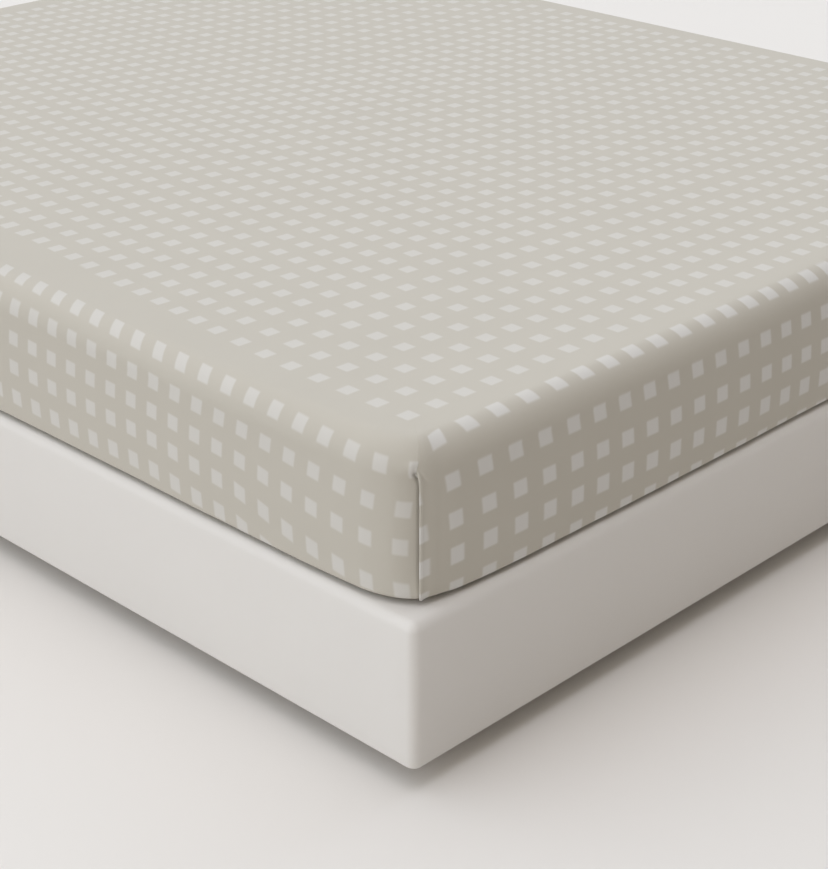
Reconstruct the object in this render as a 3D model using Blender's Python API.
"""Fitted sheet on a mattress and a low upholstered bed base.

Metres, +Z up. The origin is on the floor under the middle of the bed.
+X runs across the bed, +Y from the foot end to the head end. The corner that
the sheet's seam shows best is the one at -X, -Y.
"""
import math

import bmesh
import bpy

# Sheet, measured over the cloth.
SHEET_WIDTH = 1.600
SHEET_LENGTH = 1.900
SHEET_DEPTH = 0.178
CLOTH = 0.002
CORNER_RADIUS = 0.085
CROWN_RADIUS = 0.036
HEM_RADIUS = 0.005
TUCK = 0.070

# The seam holds each corner out, and beside it the taut cloth draws the foam
# in. How far in, by the distance from the seam along the outline.
DRAWN_IN_END = (
    (0.000, 0.0000), (0.008, 0.0020), (0.014, 0.0043), (0.026, 0.0080), (0.036, 0.0093),
    (0.047, 0.0098), (0.058, 0.0094), (0.080, 0.0074), (0.113, 0.0052), (0.175, 0.0034),
    (0.275, 0.0018), (0.425, 0.0007), (0.600, 0.0000),
)
DRAWN_IN_LONG = (
    (0.000, 0.0008), (0.012, 0.0014), (0.021, 0.0020), (0.031, 0.0030), (0.041, 0.0039),
    (0.050, 0.0043), (0.060, 0.0042), (0.081, 0.0032), (0.110, 0.0015), (0.150, 0.0004),
    (0.190, 0.0000),
)

# Each corner of the sheet is closed by one upright seam. Its allowance is a
# fold that stands out from the cloth, between the crown and the hem.
SEAM_ANGLE = 49.5
FOLD_START = 0.024
FOLD_FULL = 0.036
FOLD_SECTION = (
    # along the corner, rise
    (-0.0050, 0.0),
    (-0.0004, 0.0),
    (0.0000, 0.0024),
    (0.0024, 0.0024),
    (0.0042, 0.0),
)

# Mattress, a little smaller than the inside of the sheet.
EASE = 0.002
MATTRESS_LOW_RADIUS = 0.012

# Bed base, which shows as a narrow ledge around the mattress.
LEDGE = 0.0055
BASE_HEIGHT = 0.188
BASE_CORNER_RADIUS = 0.012
BASE_TOP_RADIUS = 0.010
BASE_LOW_RADIUS = 0.004

# Low feet, set back under the base.
FOOT_RADIUS = 0.030
FOOT_HEIGHT = 0.030
FOOT_INSET = 0.130

# Pieces that rest on one another keep this gap.
REST_GAP = 0.0004

# Facets. SIDE_STEPS are the places beside each corner where a side is bent.
SIDE_STEPS = (0.010, 0.022, 0.040, 0.065, 0.105, 0.190, 0.340, 0.540)
CORNER_STEPS = 15
CROWN_STEPS = 7
HEM_STEPS = 4
BASE_CORNER_STEPS = 5
BASE_EDGE_STEPS = 4
FOOT_STEPS = 32
CLEAR_OF_FOLD = 0.3  # least gap between the turn's points and the fold's, in steps
SHARP_ANGLE = math.radians(35.0)

BASE_BOTTOM = FOOT_HEIGHT
BASE_TOP = BASE_BOTTOM + BASE_HEIGHT
SHEET_BOTTOM = BASE_TOP + REST_GAP
SHEET_TOP = SHEET_BOTTOM + SHEET_DEPTH


def clear_scene():
    for old in list(bpy.data.objects):
        bpy.data.objects.remove(old, do_unlink=True)


def make_material(name, colour, roughness):
    material = bpy.data.materials.new(name)
    material.use_nodes = True
    shader = material.node_tree.nodes["Principled BSDF"]
    shader.inputs["Base Color"].default_value = (*colour, 1.0)
    shader.inputs["Roughness"].default_value = roughness
    shader.inputs["Metallic"].default_value = 0.0
    return material


def between(table, value):
    """The value of a table of (place, amount) pairs at a place, by straight lines."""
    for (start, first), (end, last) in zip(table, table[1:]):
        if value <= end:
            return first + (last - first) * (value - start) / (end - start)
    return table[-1][1]


def plain_corner(steps):
    """A quarter turn, as (angle, along the long side, along the end, rise, draw)."""
    return [(math.radians(90.0 * step / steps), 0.0, 0.0, 0.0, 0.0) for step in range(steps + 1)]


def drawn_corner(fold):
    """A corner of the bedding: its turn, the fold's section, and the sides drawn in.

    Each point is (angle, along the long side, along the end, rise, draw). It
    starts far along the long side and ends far along the end. fold lists the
    (along, rise) pairs of the fold, none for the mattress.
    """
    seam = math.radians(SEAM_ANGLE)
    folded = [(seam + along / CORNER_RADIUS, rise) for along, rise in fold]
    spacing = math.radians(90.0 / CORNER_STEPS)
    turn = [(step * spacing, 0.0) for step in range(CORNER_STEPS + 1)]
    if folded:
        clear = CLEAR_OF_FOLD * spacing
        first, last = folded[0][0] - clear, folded[-1][0] + clear
        turn = [pair for pair in turn if pair[0] < first or pair[0] > last]
    points = []
    for reach in sorted(SIDE_STEPS, reverse=True):
        draw = between(DRAWN_IN_LONG, CORNER_RADIUS * seam + reach)
        points.append((0.0, reach, 0.0, 0.0, draw))
    for angle, rise in sorted(turn + folded):
        table = DRAWN_IN_LONG if angle < seam else DRAWN_IN_END
        draw = between(table, CORNER_RADIUS * abs(angle - seam))
        points.append((angle, 0.0, 0.0, rise, draw))
    for reach in SIDE_STEPS:
        draw = between(DRAWN_IN_END, CORNER_RADIUS * (math.radians(90.0) - seam) + reach)
        points.append((math.radians(90.0), 0.0, reach, 0.0, draw))
    return points


def rounded_ring(size, radius, station, corner):
    """Points around a rounded rectangle, counter-clockwise from above.

    size and radius are those of the full outline, station is (inset, height,
    share of the fold's rise) and corner lists the points of one corner, from
    the long side to the end, as drawn_corner gives them.
    """
    inset, height, share = station
    half_x = size[0] / 2.0 - radius
    half_y = size[1] / 2.0 - radius
    ring = []
    for sign_x, sign_y in ((1, 1), (-1, 1), (-1, -1), (1, -1)):
        points = corner if sign_x * sign_y > 0 else list(reversed(corner))
        for angle, along_long, along_end, rise, draw in points:
            reach = radius - inset + rise * share - draw
            x = sign_x * (half_x - along_end + reach * math.cos(angle))
            y = sign_y * (half_y - along_long + reach * math.sin(angle))
            ring.append((x, y, height))
    return ring


def arc_stations(radius, centre, start, end, steps):
    """Stations along an arc of the side's profile, angles in degrees.

    The angle is 90 where the cloth lies level on top, 0 where it is upright
    and -90 where it lies level underneath. centre is (inset, height).
    """
    stations = []
    for step in range(steps + 1):
        angle = math.radians(start + (end - start) * step / steps)
        inset = centre[0] - radius * math.cos(angle)
        stations.append((inset, centre[1] + radius * math.sin(angle), 0.0))
    return stations


def loft(name, rings, material):
    """One closed body: the rings joined in turn and both ends filled."""
    mesh = bpy.data.meshes.new(name)
    body = bmesh.new()
    loops = [[body.verts.new(point) for point in ring] for ring in rings]
    for upper, lower in zip(loops, loops[1:]):
        for index in range(len(upper)):
            after = (index + 1) % len(upper)
            body.faces.new((upper[index], lower[index], lower[after], upper[after]))
    body.faces.new(loops[0])
    body.faces.new(list(reversed(loops[-1])))
    body.to_mesh(mesh)
    body.free()
    mesh.shade_smooth()
    mesh.set_sharp_from_angle(angle=SHARP_ANGLE)
    mesh.materials.append(material)
    thing = bpy.data.objects.new(name, mesh)
    bpy.context.collection.objects.link(thing)
    return thing


def fold_share(height):
    """How far the fold stands out at a height on the upright side."""
    drop = SHEET_TOP - height
    share = (drop - FOLD_START) / (FOLD_FULL - FOLD_START)
    return min(max(share, 0.0), 1.0)


def sheet_stations():
    """The sheet's profile: over the outside, around the hem, back up inside."""
    crown = (CROWN_RADIUS, SHEET_TOP - CROWN_RADIUS)
    hem = (HEM_RADIUS, SHEET_BOTTOM + HEM_RADIUS)
    outside = arc_stations(CROWN_RADIUS, crown, 90, 0, CROWN_STEPS)
    outside += [(0.0, SHEET_TOP - FOLD_FULL, 0.0)]
    outside += arc_stations(HEM_RADIUS, hem, 0, -90, HEM_STEPS)
    outside = [(inset, height, fold_share(height)) for inset, height, _ in outside]
    outside[-1] = (HEM_RADIUS, SHEET_BOTTOM, 0.0)
    under = [(TUCK, SHEET_BOTTOM, 0.0), (TUCK, SHEET_BOTTOM + CLOTH, 0.0)]
    inside = arc_stations(HEM_RADIUS - CLOTH, hem, -90, 0, HEM_STEPS)
    inside += arc_stations(CROWN_RADIUS - CLOTH, crown, 0, 90, CROWN_STEPS)
    return outside + under + inside


def build_sheet():
    size = (SHEET_WIDTH, SHEET_LENGTH)
    corner = drawn_corner(FOLD_SECTION)
    rings = [rounded_ring(size, CORNER_RADIUS, s, corner) for s in sheet_stations()]
    cloth = make_material("sheet cloth", (0.58, 0.55, 0.49), 0.85)
    return loft("fitted_sheet", rings, cloth)


def build_mattress():
    clear = CLOTH + EASE
    top = SHEET_TOP - clear
    bottom = SHEET_BOTTOM + CLOTH + REST_GAP
    upper_radius = CROWN_RADIUS - clear
    upper = (clear + upper_radius, top - upper_radius)
    lower = (clear + MATTRESS_LOW_RADIUS, bottom + MATTRESS_LOW_RADIUS)
    stations = arc_stations(upper_radius, upper, 90, 0, CROWN_STEPS)
    stations += arc_stations(MATTRESS_LOW_RADIUS, lower, 0, -90, HEM_STEPS)
    size = (SHEET_WIDTH, SHEET_LENGTH)
    corner = drawn_corner(())
    rings = [rounded_ring(size, CORNER_RADIUS, s, corner) for s in stations]
    cover = make_material("mattress cover", (0.80, 0.79, 0.76), 0.90)
    return loft("mattress", rings, cover)


def build_base():
    size = (SHEET_WIDTH + 2.0 * LEDGE, SHEET_LENGTH + 2.0 * LEDGE)
    upper = (BASE_TOP_RADIUS, BASE_TOP - BASE_TOP_RADIUS)
    lower = (BASE_LOW_RADIUS, BASE_BOTTOM + BASE_LOW_RADIUS)
    stations = arc_stations(BASE_TOP_RADIUS, upper, 90, 0, BASE_EDGE_STEPS)
    stations += arc_stations(BASE_LOW_RADIUS, lower, 0, -90, BASE_EDGE_STEPS)
    corner = plain_corner(BASE_CORNER_STEPS)
    rings = [rounded_ring(size, BASE_CORNER_RADIUS, s, corner) for s in stations]
    cover = make_material("base cover", (0.78, 0.76, 0.73), 0.80)
    return loft("bed_base", rings, cover)


def build_feet():
    plastic = make_material("foot plastic", (0.05, 0.05, 0.05), 0.50)
    across = SHEET_WIDTH / 2.0 - FOOT_INSET
    along = SHEET_LENGTH / 2.0 - FOOT_INSET
    places = {
        "foot_front_left": (-across, -along),
        "foot_front_right": (across, -along),
        "foot_back_left": (-across, along),
        "foot_back_right": (across, along),
        "foot_centre": (0.0, 0.0),
    }
    height = FOOT_HEIGHT - REST_GAP
    for name, (x, y) in places.items():
        disc = bmesh.new()
        bmesh.ops.create_cone(
            disc, cap_ends=True, segments=FOOT_STEPS,
            radius1=FOOT_RADIUS, radius2=FOOT_RADIUS, depth=height,
        )
        mesh = bpy.data.meshes.new(name)
        disc.to_mesh(mesh)
        disc.free()
        mesh.shade_smooth()
        mesh.set_sharp_from_angle(angle=SHARP_ANGLE)
        mesh.materials.append(plastic)
        foot = bpy.data.objects.new(name, mesh)
        foot.location = (x, y, height / 2.0)
        bpy.context.collection.objects.link(foot)


def main():
    clear_scene()
    build_sheet()
    build_mattress()
    build_base()
    build_feet()


main()
